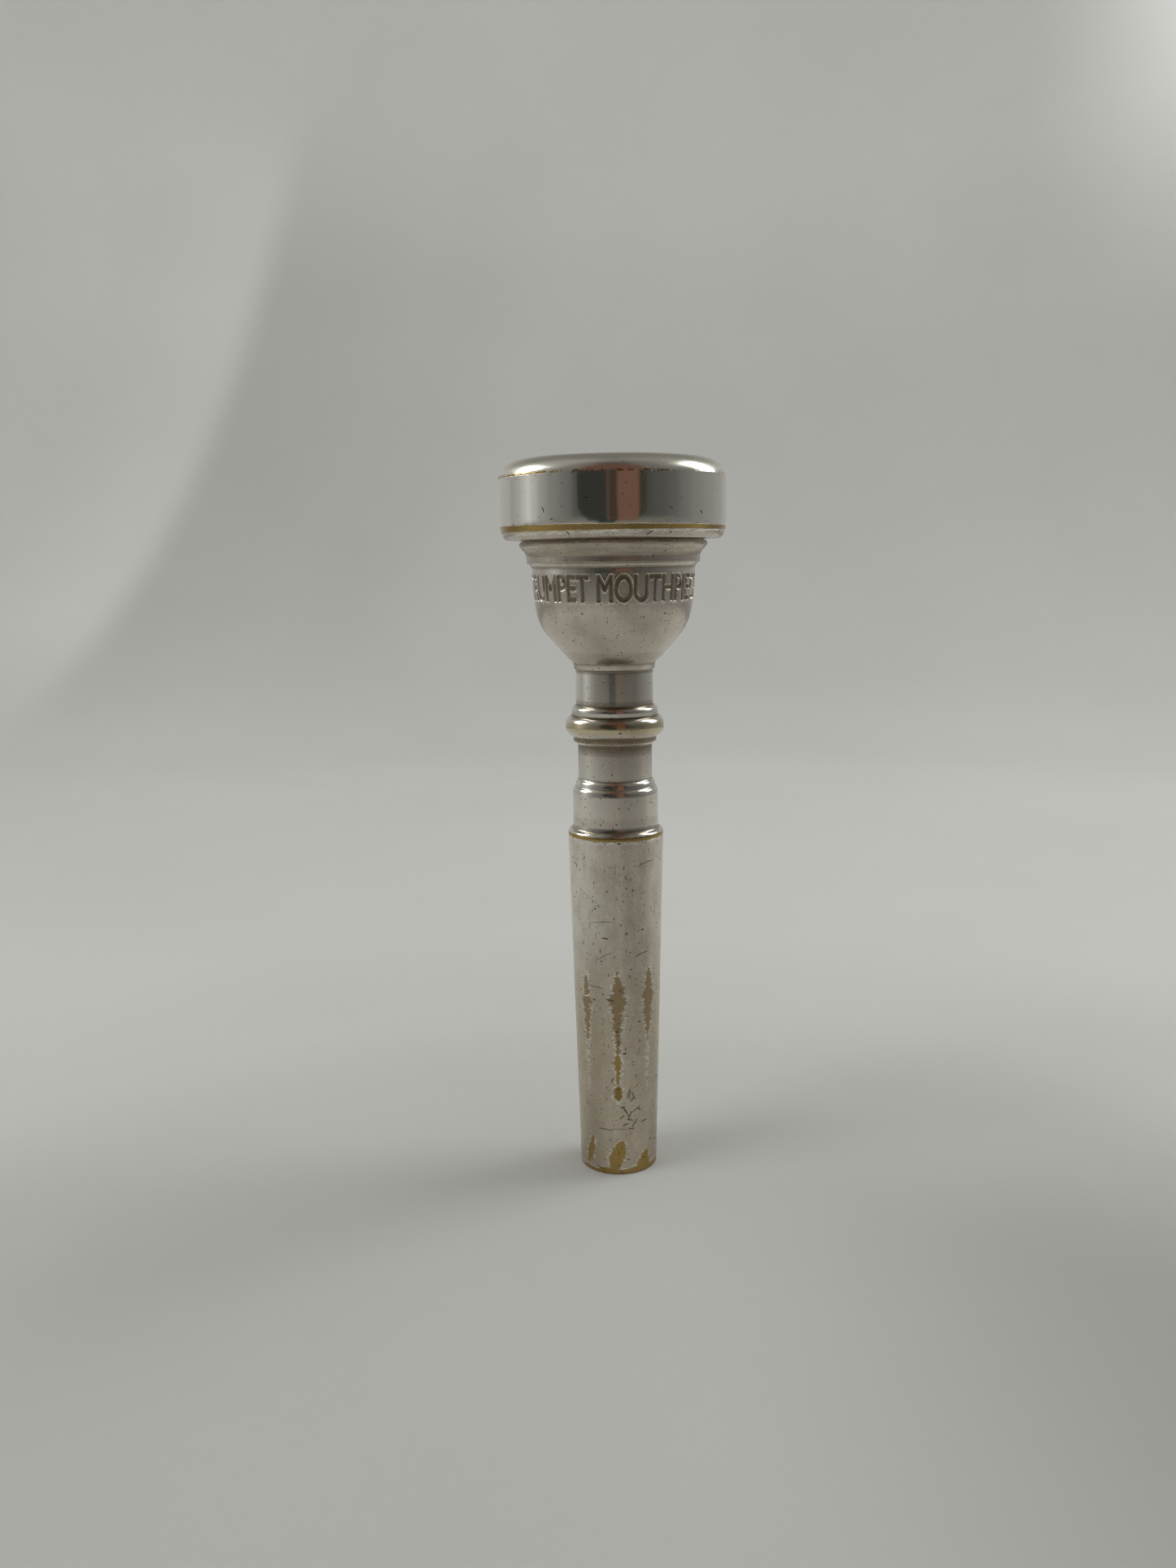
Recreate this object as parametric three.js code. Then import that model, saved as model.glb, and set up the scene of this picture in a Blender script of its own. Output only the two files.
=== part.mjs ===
// A trumpet mouthpiece in silver-plated brass, turned in two pieces: the rim ring, and the cup
// with its throat, backbore and shank in one piece. The rim has a socket that goes down over a
// spigot on top of the cup, so that it can be taken off.
//
// Millimetres, +Z up the axis, origin at the centre of the shank's end face. Both pieces are
// turned about the axis, so each is one closed outline: x is the radius and y is the height.

import * as THREE from 'three';

// Driving dimensions.
const TOTAL_LENGTH = 87.5;
const RIM_RADIUS = 13.49; // the outside of the rim at its widest
const CREST_RADIUS = 10.0; // the top of the rim's rounding, where the lips meet it
const BITE_RADIUS = 8.25; // the inside edge of the rim, half of the cup's diameter
const SHANK_END_RADIUS = 4.8;
const SHANK_TOP_RADIUS = 5.84;
const SHANK_LENGTH = 42.9;
const THROAT_RADIUS = 1.83;
const BACKBORE_END_RADIUS = 4.15;

// The joint between the rim and the cup.
const SEAT_HEIGHT = 78.06; // the shoulder that the rim comes down onto
const SEAT_GAP = 0.2; // the open crevice under the rim
const SPIGOT_HEIGHT = 5.44; // from the seat to the top of the spigot
const SPIGOT_CEILING_GAP = 0.3;
const PILOT_RADIUS = 10.8; // the plain land that centres the rim
const PILOT_HEIGHT = 1.0;
const PILOT_CLEARANCE = 0.08;
const THREAD_MAJOR_RADIUS = 10.42; // the outside of the threaded length of the spigot
const THREAD_CLEARANCE = 0.22;
const SPIGOT_CHAMFER = 0.25;

// How finely the round shapes are cut.
const SEGMENTS = 60; // steps round the axis
const CURVE_STEPS = 3; // steps along each curve of an outline

// Heights that both pieces share.
const SPIGOT_TOP = SEAT_HEIGHT + SPIGOT_HEIGHT;
const PILOT_TOP = SEAT_HEIGHT + PILOT_HEIGHT;
const UNDERSIDE = SEAT_HEIGHT + SEAT_GAP;
const SOCKET_CEILING = SPIGOT_TOP + SPIGOT_CEILING_GAP;

const silverPlate = new THREE.MeshStandardMaterial({ color: 0xc9c9c6, roughness: 0.16, metalness: 1 });
const wornPlate = new THREE.MeshStandardMaterial({ color: 0xa39c92, roughness: 0.38, metalness: 1 });

// A solid of revolution about Z. The outline runs up the outside and down the inside.
function turned(name, outline, material) {
  const geometry = new THREE.LatheGeometry(outline.getPoints(CURVE_STEPS), SEGMENTS);
  geometry.rotateX(Math.PI / 2);
  const mesh = new THREE.Mesh(geometry, material);
  mesh.name = name;
  return mesh;
}

// The shank: an annular end face, a slightly broken edge, and the long taper up to its lip.
function shank(path) {
  const edge = 0.15;
  path.moveTo(BACKBORE_END_RADIUS, 0);
  path.lineTo(SHANK_END_RADIUS - edge, 0);
  path.quadraticCurveTo(SHANK_END_RADIUS, 0, SHANK_END_RADIUS, edge);
  path.lineTo(SHANK_TOP_RADIUS, SHANK_LENGTH);
  path.quadraticCurveTo(SHANK_TOP_RADIUS, SHANK_LENGTH + 0.5, 5.52, SHANK_LENGTH + 0.6);
}

// The turned collars between the shank and the cup, from the lowest to the highest: the lip's
// hollow, a straight length, the double shoulder, the lower neck, a bead between two rings, and
// the upper neck.
function collars(path) {
  const straight = 5.2;
  const lowerNeck = 4.5;
  const upperNeck = 4.68;
  const bead = 5.95;
  path.quadraticCurveTo(straight, 43.55, straight, 44.3);
  path.lineTo(straight, 47.9);
  path.quadraticCurveTo(straight, 48.6, 4.86, 48.72);
  path.quadraticCurveTo(4.86, 49.4, lowerNeck + 0.06, 49.58);
  path.lineTo(lowerNeck, 49.74);
  path.lineTo(lowerNeck, 53.86);
  path.lineTo(4.98, 54.25);
  path.lineTo(5.06, 54.75);
  path.quadraticCurveTo(bead, 55.0, bead, 56.2);
  path.quadraticCurveTo(bead, 57.2, 5.2, 57.42);
  path.lineTo(5.24, 58.0);
  path.quadraticCurveTo(5.2, 58.5, 4.86, 58.54);
  path.lineTo(upperNeck, 58.7);
  path.lineTo(upperNeck, 62.9);
}

// The outside of the cup: a small ring at its foot, a cone, a round shoulder, the tall band, and
// the stepped top.
function cupOutside(path) {
  path.lineTo(4.84, 63.02);
  path.lineTo(4.93, 63.62);
  path.lineTo(5.1, 63.88);
  path.lineTo(7.9, 67.0);
  path.quadraticCurveTo(9.4, 68.6, 9.49, 70.7);
  path.lineTo(9.72, 74.9);
  path.quadraticCurveTo(9.85, 75.3, 10.3, 75.42);
  path.lineTo(10.34, 76.2);
  path.quadraticCurveTo(10.42, 76.85, 10.98, 77.3);
  path.lineTo(11.2, 77.72);
  path.lineTo(10.98, SEAT_HEIGHT);
}

// The spigot that carries the rim: a plain land for centring, then the threaded length.
function spigot(path) {
  path.lineTo(PILOT_RADIUS, SEAT_HEIGHT);
  path.lineTo(PILOT_RADIUS, PILOT_TOP);
  path.lineTo(THREAD_MAJOR_RADIUS, PILOT_TOP + 0.2);
  path.lineTo(THREAD_MAJOR_RADIUS, SPIGOT_TOP - SPIGOT_CHAMFER);
  path.lineTo(THREAD_MAJOR_RADIUS - SPIGOT_CHAMFER, SPIGOT_TOP);
}

// The air's way down: the cup's bowl, the rounded shoulder, the throat and the backbore.
function bore(path) {
  const cupRadius = 7.95;
  const throatTop = 71.0;
  const throatFoot = 66.0;
  path.lineTo(cupRadius, SPIGOT_TOP);
  path.quadraticCurveTo(7.85, 79.5, 6.7, 77.0);
  path.quadraticCurveTo(5.6, 74.6, 3.4, 72.6);
  path.quadraticCurveTo(THROAT_RADIUS, 71.8, THROAT_RADIUS, throatTop);
  path.lineTo(THROAT_RADIUS, throatFoot);
  path.quadraticCurveTo(2.9, 50, 3.3, 34);
  path.lineTo(BACKBORE_END_RADIUS, 0);
}

function cupAndShank() {
  const path = new THREE.Path();
  shank(path);
  collars(path);
  cupOutside(path);
  spigot(path);
  bore(path);
  return turned('cup_and_shank', path, wornPlate);
}

// The rim ring: flat underside, straight side, rounded top, sharp bite, and the socket below.
function rim() {
  const socketRadius = THREAD_MAJOR_RADIUS + THREAD_CLEARANCE;
  const pilotBore = PILOT_RADIUS + PILOT_CLEARANCE;
  const shoulder = 85.42;
  const path = new THREE.Path();
  path.moveTo(pilotBore, UNDERSIDE);
  path.lineTo(12.55, UNDERSIDE);
  path.quadraticCurveTo(13.05, 78.45, 13.22, 79.15);
  path.lineTo(13.36, 79.72);
  path.quadraticCurveTo(13.45, 80.4, RIM_RADIUS, 81.3);
  path.lineTo(13.44, shoulder);
  path.bezierCurveTo(13.24, 86.4, 11.9, TOTAL_LENGTH, CREST_RADIUS, TOTAL_LENGTH);
  path.bezierCurveTo(9.0, TOTAL_LENGTH, BITE_RADIUS, 87.1, BITE_RADIUS, 86.1);
  path.quadraticCurveTo(7.98, 85.0, 7.97, SOCKET_CEILING);
  path.lineTo(socketRadius, SOCKET_CEILING);
  path.lineTo(socketRadius, PILOT_TOP + 0.3);
  path.lineTo(pilotBore, PILOT_TOP + 0.15);
  path.closePath();
  return turned('rim', path, silverPlate);
}

const mouthpiece = new THREE.Group();
mouthpiece.add(cupAndShank(), rim());

export default mouthpiece;
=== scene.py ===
"""A silver-plated trumpet mouthpiece standing on the end of its shank, on a pale sweep.

Two pieces replace the two CAD solids: the rim ring and the cup with its shank. Both are turned
outlines with real fillets, threads and stamped letters, in node materials that show worn plate.
Outlines are in millimetres and become metres when a mesh is made.
"""
import math

import bpy
import numpy as np
from mathutils import Matrix, Vector


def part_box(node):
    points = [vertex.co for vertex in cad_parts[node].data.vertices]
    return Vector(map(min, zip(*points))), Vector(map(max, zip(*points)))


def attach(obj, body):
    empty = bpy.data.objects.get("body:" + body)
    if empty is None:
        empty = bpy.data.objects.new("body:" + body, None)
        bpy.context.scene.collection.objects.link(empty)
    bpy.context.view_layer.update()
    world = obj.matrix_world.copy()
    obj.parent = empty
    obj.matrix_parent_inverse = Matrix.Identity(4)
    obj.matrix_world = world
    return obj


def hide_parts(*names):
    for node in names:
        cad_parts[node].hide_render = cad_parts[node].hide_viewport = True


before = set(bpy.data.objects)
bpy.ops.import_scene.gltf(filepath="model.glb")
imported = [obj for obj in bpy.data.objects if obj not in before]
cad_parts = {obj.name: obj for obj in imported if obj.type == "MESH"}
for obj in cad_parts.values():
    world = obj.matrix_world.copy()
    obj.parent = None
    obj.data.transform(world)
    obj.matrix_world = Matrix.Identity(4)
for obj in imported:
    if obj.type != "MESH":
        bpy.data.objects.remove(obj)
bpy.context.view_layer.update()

MM = 0.001
body_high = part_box("cup_and_shank")[1] / MM
rim_low, rim_high = (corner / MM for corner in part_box("rim"))

# Sizes that come from the CAD solids.
SPIGOT_TOP = body_high.z
UNDERSIDE = rim_low.z
TOTAL_LENGTH = rim_high.z
RIM_RADIUS = rim_high.x

# Radii of the shank, the collars on the neck and the air's way through, and the shank's length.
SHANK_END_RADIUS = 4.8
SHANK_TOP_RADIUS = 5.84
SHANK_TOP = 42.9
STRAIGHT_RADIUS = 5.2
LOWER_NECK_RADIUS = 4.5
UPPER_NECK_RADIUS = 4.68
BEAD_RADIUS = 5.95
THROAT_RADIUS = 1.83
BACKBORE_END_RADIUS = 4.15

# The joint between the two pieces: the seat, the plain land that centres the rim, and the threads.
SEAT_GAP = 0.2
SEAT = UNDERSIDE - SEAT_GAP
PILOT_RADIUS = 10.8
PILOT_CLEARANCE = 0.08
PILOT_HEIGHT = 1.0
PILOT_TOP = SEAT + PILOT_HEIGHT
CEILING = SPIGOT_TOP + 0.3
MALE_RADIUS = 10.42
FEMALE_RADIUS = 10.64
THREAD_PITCH = 25.4 / 24
THREAD_DEPTH = 0.42
THREAD_ROWS = 60

# Heights of the rim's edges, which the wear follows.
RIM_BEVEL = 79.15
RIM_EDGE = 79.72
RIM_SHOULDER = 85.42

# Columns round each piece. A stretch of outline that isn't short gets extra rows at these
# distances from both its ends.
COLUMNS = 160
SHORT_STRETCH = 0.3
ROW_PLACES = (0.1, 0.25, 0.5, 1.0, 2.0)

# The stamped band: generic words round the cup. SPREAD is how much wider than the font's lines the
# strokes are cut on each side, WALL how wide their sloping walls are, BURR the raised lip beside
# them, and BOW how the band swells.
WORDS = "TRUMPET MOUTHPIECE"
WORDS_FOOT = 71.25
WORDS_HEIGHT = 2.98
WORDS_LENGTH = 28.6
STAMP_FOOT = 71.0
STAMP_TOP = 74.5
STAMP_DEPTH = 0.17
STROKE_SPREAD = 0.12
WALL_WIDTH = 0.12
BURR_HEIGHT = 0.025
BURR_WIDTH = 0.06
BAND_BOW = 0.08

# The fine grid that carries the words: the coarse columns that it takes the place of, the parts
# that each of them is split into, and its rows.
STAMP_COLUMNS = 92
STAMP_SPLIT = 7
STAMP_ROWS = 64


# ---------------------------------------------------------------- outlines

class Outline:
    """A closed outline of a turned piece: radius and height, up the outside and down the inside."""

    def __init__(self, radius, height):
        self.points = [(radius, height, 0.0)]

    def line(self, radius, height, fillet=0.0):
        """A straight stretch to a corner, which is rounded by the fillet's radius."""
        self.points.append((radius, height, fillet))
        return self

    def curve(self, *control, steps=10):
        """A Bezier curve from the last point to the last one given, by the control points between."""
        start = self.points[-1][:2]
        corners = np.array([start, *control], float)
        for step in range(1, steps + 1):
            level = corners
            while len(level) > 1:
                level = level[:-1] + (level[1:] - level[:-1]) * (step / steps)
            self.points.append((*level[0], 0.0))
        return self

    def threaded(self, radius, start, end):
        """A straight stretch between two heights, with enough rows to carry a thread."""
        for step in range(1, THREAD_ROWS + 1):
            self.points.append((radius, start + (end - start) * step / THREAD_ROWS, 0.0))
        return self

    def rounded(self, steps=4):
        """The points with every fillet cut in as an arc, which takes less than half of each side."""
        longest = 0.45
        made = []
        count = len(self.points)
        for i, (radius, height, fillet) in enumerate(self.points):
            here = np.array([radius, height])
            if fillet == 0.0:
                made.append(here)
                continue
            before = np.array(self.points[i - 1][:2]) - here
            after = np.array(self.points[(i + 1) % count][:2]) - here
            before_length, after_length = np.linalg.norm(before), np.linalg.norm(after)
            before, after = before / before_length, after / after_length
            half = math.acos(np.clip(before @ after, -1, 1)) / 2
            reach = min(fillet / math.tan(half), longest * before_length, longest * after_length)
            size = reach * math.tan(half)
            centre = here + (before + after) / np.linalg.norm(before + after) * (size / math.sin(half))
            first, last = here + before * reach - centre, here + after * reach - centre
            turn = math.atan2(first[0] * last[1] - first[1] * last[0], first @ last)
            for step in range(steps + 1):
                angle = turn * step / steps
                spin = np.array([[math.cos(angle), -math.sin(angle)], [math.sin(angle), math.cos(angle)]])
                made.append(centre + spin @ first)
        return np.array(made)


def add_rows(points, keep_plain=None):
    """More rows near the ends of long stretches, where shade and tarnish change fastest, except
    between the two heights of keep_plain."""
    made = []
    for i, here in enumerate(points):
        made.append(here)
        after = points[(i + 1) % len(points)]
        length = np.linalg.norm(after - here)
        plain = keep_plain and all(keep_plain[0] <= z <= keep_plain[1] for z in (here[1], after[1]))
        if length < SHORT_STRETCH or plain:
            continue
        near = [place for place in ROW_PLACES if place < 0.45 * length]
        for place in near + [length - place for place in reversed(near)]:
            made.append(here + (after - here) * (place / length))
    return np.array(made)


def bend_at(points, reach):
    """How hollow (+) or proud (-) the outline is round each point, in radians of turn within reach."""
    before = points - np.roll(points, 1, 0)
    after = np.roll(points, -1, 0) - points
    cross = before[:, 0] * after[:, 1] - before[:, 1] * after[:, 0]
    turn = -np.arctan2(cross, (before * after).sum(1))
    gap = np.linalg.norm(points[:, None] - points[None], axis=2)
    return (np.exp(-((gap / reach) ** 2)) * turn[None]).sum(1)


# ---------------------------------------------------------------- meshes

def thread(radius, height, angle, low, high, inward):
    """The radius of a thread's flank at a height and angle, cut towards the axis or away from it.
    The crest and the root are flat, and the thread runs out at both heights."""
    run_out = 0.35
    turns = height / THREAD_PITCH - angle / (2 * math.pi)
    wave = 1 - np.abs(2 * (turns - np.floor(turns)) - 1)
    depth = THREAD_DEPTH * np.clip(1.5 * wave - 0.25, 0, 1)
    fade = np.clip((height - low) / run_out, 0, 1) * np.clip((high - height) / run_out, 0, 1)
    cut = np.where((height > low) & (height < high), depth * fade, 0.0)
    return radius - cut if inward else radius + cut


def make_mesh(name, points, faces, values):
    """A smooth mesh from points in millimetres, with a float attribute for each entry of values."""
    mesh = bpy.data.meshes.new(name)
    mesh.from_pydata((np.asarray(points) * MM).tolist(), [], faces)
    mesh.shade_smooth()
    for key, numbers in values.items():
        layer = mesh.attributes.new(key, "FLOAT", "POINT")
        layer.data.foreach_set("value", np.asarray(numbers, np.float32))
    mesh.validate()
    thing = bpy.data.objects.new(name, mesh)
    bpy.context.scene.collection.objects.link(thing)
    return thing


def turned_points(rows, columns, threads=None):
    """Every row of the outline at every column. threads gives the two heights between which a thread
    is cut, the radius of the rows that carry it, and whether it is cut inwards."""
    angle = np.arange(columns) * 2 * math.pi / columns
    radius = np.repeat(rows[:, :1], columns, 1)
    height = np.repeat(rows[:, 1:], columns, 1)
    if threads:
        low, high, near, inward = threads
        cut = np.abs(rows[:, 0] - near) < 0.05
        cut &= (rows[:, 1] > low) & (rows[:, 1] < high)
        radius[cut] = thread(radius[cut], height[cut], angle[None], low, high, inward)
    around = np.repeat(angle[None], len(rows), 0)
    return np.stack([radius * np.sin(around), -radius * np.cos(around), height], -1)


def letter_edges():
    """The edges of the words' outlines laid flat, in millimetres: along the band and up it."""
    text = bpy.data.curves.new("words", "FONT")
    text.body = WORDS
    text.resolution_u = 5
    thing = bpy.data.objects.new("words", text)
    bpy.context.scene.collection.objects.link(thing)
    bpy.context.view_layer.update()
    flat = bpy.data.meshes.new_from_object(thing.evaluated_get(bpy.context.evaluated_depsgraph_get()))
    spot = np.array([v.co[:2] for v in flat.vertices])
    used = {}
    for face in flat.polygons:
        for key in face.edge_keys:
            used[key] = used.get(key, 0) + 1
    edges = np.array([key for key, count in used.items() if count == 1])
    bpy.data.objects.remove(thing)
    bpy.data.curves.remove(text)
    bpy.data.meshes.remove(flat)
    low, high = spot.min(0), spot.max(0)
    spot = (spot - [(low[0] + high[0]) / 2, low[1]]) / (high - low) * [WORDS_LENGTH, WORDS_HEIGHT]
    spot[:, 1] += WORDS_FOOT
    return spot[edges]


def distance_inside(points, edges):
    """How far each point is inside (+) or outside (-) the closed outlines that the edges make."""
    at_once = 4000
    start, end = edges[:, 0], edges[:, 1]
    along = end - start
    square = (along ** 2).sum(1)
    answer = np.empty(len(points))
    for first in range(0, len(points), at_once):
        some = points[first:first + at_once, None]
        share = np.clip(((some - start) * along).sum(2) / square, 0, 1)
        gap = np.linalg.norm(some - start - share[..., None] * along, axis=2).min(1)
        spans = (start[:, 1] > some[..., 1]) != (end[:, 1] > some[..., 1])
        with np.errstate(divide="ignore", invalid="ignore"):
            meets = start[:, 0] + (some[..., 1] - start[:, 1]) * along[:, 0] / along[:, 1]
        crossings = (spans & (some[..., 0] < meets)).sum(1)
        answer[first:first + at_once] = np.where(crossings % 2 == 1, gap, -gap)
    return answer


def stamp(rows, strip):
    """The fine grid of the stamped band: its points, and how deep each one lies in a letter."""
    first = -(STAMP_COLUMNS // 2)
    angle = (np.arange(STAMP_COLUMNS * STAMP_SPLIT + 1) / STAMP_SPLIT + first) * 2 * math.pi / COLUMNS
    share = np.arange(STAMP_ROWS + 1) / STAMP_ROWS
    foot, top = rows[strip], rows[strip + 1]
    line = foot + (top - foot) * share[:, None]
    middle = (foot[0] + top[0]) / 2
    flat = np.stack(np.meshgrid(angle * middle, line[:, 1]), -1)
    inside = distance_inside(flat.reshape(-1, 2), letter_edges()).reshape(flat.shape[:2]) + STROKE_SPREAD
    wall = np.clip(inside / WALL_WIDTH, 0, 1)
    wall = wall * wall * (3 - 2 * wall)
    burr = BURR_HEIGHT * np.exp(-(((inside + BURR_WIDTH) / BURR_WIDTH) ** 2))
    bow = BAND_BOW * share * (1 - share)
    radius = line[:, :1] + bow[:, None] - STAMP_DEPTH * wall + burr
    points = np.stack([radius * np.sin(angle), -radius * np.cos(angle), line[:, 1:] + 0 * radius], -1)
    return points, wall


def turned_piece(name, rows, threads=None, stamped=False):
    """A closed turned mesh from an outline's rows, with its stamped band if it has one."""
    count = len(rows)
    points = turned_points(rows, COLUMNS, threads).reshape(-1, 3)
    bend = np.repeat(bend_at(rows, 0.22), COLUMNS)
    wide = np.repeat(bend_at(rows, 0.6), COLUMNS)
    values = {"hollow": np.clip(bend, 0, 2) + 0.5 * np.clip(wide, 0, 2), "letter": np.zeros(len(points))}
    between = {}
    skipped = set()
    faces = []
    if stamped:
        strip = next(i for i in range(count) if abs(rows[i, 1] - STAMP_FOOT) < 1e-6)
        points, values, grid = add_stamp(rows, strip, points, values)
        skipped, between = stamp_border(strip, grid)
        faces += grid_faces(grid)
    for i in range(count):
        for j in range(COLUMNS):
            if (i, j) in skipped:
                continue
            a, b = i * COLUMNS + j, i * COLUMNS + (j + 1) % COLUMNS
            c, d = (i + 1) % count * COLUMNS + (j + 1) % COLUMNS, (i + 1) % count * COLUMNS + j
            loop = []
            for start, end in ((a, b), (b, c), (c, d), (d, a)):
                loop.append(start)
                loop += between.get((start, end)) or list(reversed(between.get((end, start), [])))
            faces.append(loop)
    return make_mesh(name, points, faces, values)


def stamp_corner():
    """The first column of the stamped band, which is centred on the front, where column 0 is."""
    return -(STAMP_COLUMNS // 2) % COLUMNS


def add_stamp(rows, strip, points, values):
    """The points and values with the stamped grid's own added, and the grid of point numbers."""
    fine, wall = stamp(rows, strip)
    high, wide = wall.shape
    grid = np.full((high, wide), -1)
    first = stamp_corner()
    for j in range(STAMP_COLUMNS + 1):
        column = (first + j) % COLUMNS
        grid[0, j * STAMP_SPLIT] = strip * COLUMNS + column
        grid[-1, j * STAMP_SPLIT] = (strip + 1) * COLUMNS + column
    new = grid < 0
    grid[new] = len(points) + np.arange(new.sum())
    points = np.concatenate([points, fine[new]])
    for key in values:
        extra = wall[new] if key == "letter" else np.zeros(new.sum())
        values[key] = np.concatenate([values[key], extra])
    return points, values, grid


def stamp_border(strip, grid):
    """The coarse faces that the grid takes the place of, and the grid's points on each coarse edge."""
    first = stamp_corner()
    skipped = {(strip, (first + j) % COLUMNS) for j in range(STAMP_COLUMNS)}
    between = {}
    for row in (0, -1):
        for j in range(STAMP_COLUMNS):
            run = grid[row, j * STAMP_SPLIT:(j + 1) * STAMP_SPLIT + 1].tolist()
            between[run[0], run[-1]] = run[1:-1]
    for column in (0, -1):
        run = grid[:, column].tolist()
        between[run[0], run[-1]] = run[1:-1]
    return skipped, between


def grid_faces(grid):
    """The quads of the stamped grid."""
    corners = [grid[:-1, :-1], grid[:-1, 1:], grid[1:, 1:], grid[1:, :-1]]
    return np.stack(corners, -1).reshape(-1, 4).tolist()


# ---------------------------------------------------------------- the two outlines

def shank(edge):
    """The taper up to its rounded lip, from a slightly broken edge at the end face."""
    edge.line(SHANK_END_RADIUS, 0, 0.16)
    edge.line(SHANK_TOP_RADIUS, SHANK_TOP)
    edge.curve((SHANK_TOP_RADIUS, 43.28), (5.74, 43.45), (5.52, 43.5), steps=9)


def collars(edge):
    """The lip's hollow, a straight length, the double shoulder, the lower neck, a bead between two
    rings, and the upper neck."""
    edge.curve((5.32, 43.53), (STRAIGHT_RADIUS, 43.8), (STRAIGHT_RADIUS, 44.3), steps=7)
    edge.line(STRAIGHT_RADIUS, 47.9)
    edge.curve((STRAIGHT_RADIUS, 48.35), (5.05, 48.68), (4.86, 48.72), steps=8)
    edge.curve((4.86, 49.2), (4.72, 49.5), (4.56, 49.58), steps=8)
    edge.line(LOWER_NECK_RADIUS, 49.74, 0.1)
    edge.line(LOWER_NECK_RADIUS, 53.86, 0.06)
    edge.line(5.02, 54.26, 0.12).line(5.06, 54.75, 0.08).line(5.18, 54.9, 0.05)
    edge.curve((5.75, 55.1), (BEAD_RADIUS, 55.6), (BEAD_RADIUS, 56.2), steps=8)
    edge.curve((BEAD_RADIUS, 56.85), (5.75, 57.25), (5.22, 57.38), steps=8)
    edge.line(5.12, 57.43, 0.03).line(5.22, 57.52, 0.05).line(5.24, 58.02)
    edge.curve((5.24, 58.3), (5.12, 58.5), (4.9, 58.56), steps=8)
    edge.line(UPPER_NECK_RADIUS, 58.68, 0.06)
    edge.line(UPPER_NECK_RADIUS, 62.9, 0.06)


def cup_outside(edge):
    """A small ring at the foot, a cone, a round shoulder, the stamped band and the stepped top."""
    edge.line(4.84, 63.04, 0.05).line(4.95, 63.74, 0.03).line(5.05, 63.84, 0.03)
    edge.curve((5.7, 64.45), (6.15, 65.0), steps=6)
    edge.line(7.9, 67.0)
    edge.curve((8.85, 68.05), (9.25, 69.4), (9.42, 70.85), steps=14)
    edge.line(9.44, STAMP_FOOT).line(9.71, STAMP_TOP)
    edge.line(9.73, 75.1, 0.2).line(10.05, 75.46, 0.1).line(10.3, 75.58, 0.08).line(10.34, 76.3)
    edge.curve((10.38, 76.9), (10.78, 77.0), (10.98, 77.34), steps=8)
    edge.curve((11.1, 77.44), (11.15, 77.52), (11.16, 77.64), steps=4)
    edge.line(11.2, 77.74, 0.03).line(10.98, SEAT, 0.05)


def spigot(edge):
    """The plain land that centres the rim, and the male thread above it."""
    edge.line(PILOT_RADIUS, SEAT, 0.05)
    edge.line(PILOT_RADIUS, PILOT_TOP, 0.08)
    edge.line(MALE_RADIUS, PILOT_TOP + 0.2)
    edge.threaded(MALE_RADIUS, PILOT_TOP + 0.25, SPIGOT_TOP - 0.3)
    edge.line(MALE_RADIUS - 0.25, SPIGOT_TOP, 0.05)


def bore(edge):
    """The air's way down: the cup's bowl, the throat and the backbore."""
    edge.line(7.95, SPIGOT_TOP, 0.05)
    edge.curve((7.9, 79.6), (6.9, 77.3), steps=12)
    edge.curve((5.7, 74.8), (3.4, 72.6), steps=12)
    edge.curve((THROAT_RADIUS, 71.9), (THROAT_RADIUS, 71.0), steps=10)
    edge.line(THROAT_RADIUS, 66.0)
    edge.curve((2.9, 50), (3.3, 34), steps=12)


def body_outline():
    """The whole outline of the cup and shank, up the outside and down the bore."""
    edge = Outline(BACKBORE_END_RADIUS, 0)
    for stretch in (shank, collars, cup_outside, spigot, bore):
        stretch(edge)
    return edge


def rim_outline():
    """The rim's underside, side, rounding, bite and threaded socket."""
    pilot_bore = PILOT_RADIUS + PILOT_CLEARANCE
    edge = Outline(pilot_bore, UNDERSIDE).line(12.55, UNDERSIDE, 0.1)
    edge.curve((12.95, 78.35), (13.1, 78.72), (13.15, RIM_BEVEL - 0.05), steps=6)
    edge.line(13.22, RIM_BEVEL, 0.03).line(13.36, RIM_EDGE, 0.12)
    edge.curve((13.42, 80.1), (13.47, 80.6), (RIM_RADIUS, 81.3), steps=8)
    edge.line(13.44, RIM_SHOULDER, 0.06)
    edge.curve((13.3, 86.37), (12.2, TOTAL_LENGTH), (10.0, TOTAL_LENGTH), steps=24)
    edge.curve((9.1, TOTAL_LENGTH), (8.3, 87.05), (8.22, 86.1), steps=14)
    edge.curve((8.0, 85.0), (7.97, CEILING), steps=8)
    edge.line(FEMALE_RADIUS, CEILING, 0.1)
    edge.line(FEMALE_RADIUS, SPIGOT_TOP + 0.1)
    edge.threaded(FEMALE_RADIUS, SPIGOT_TOP + 0.1, PILOT_TOP + 0.35)
    edge.line(pilot_bore, PILOT_TOP + 0.15)
    return edge


# ---------------------------------------------------------------- materials

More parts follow.
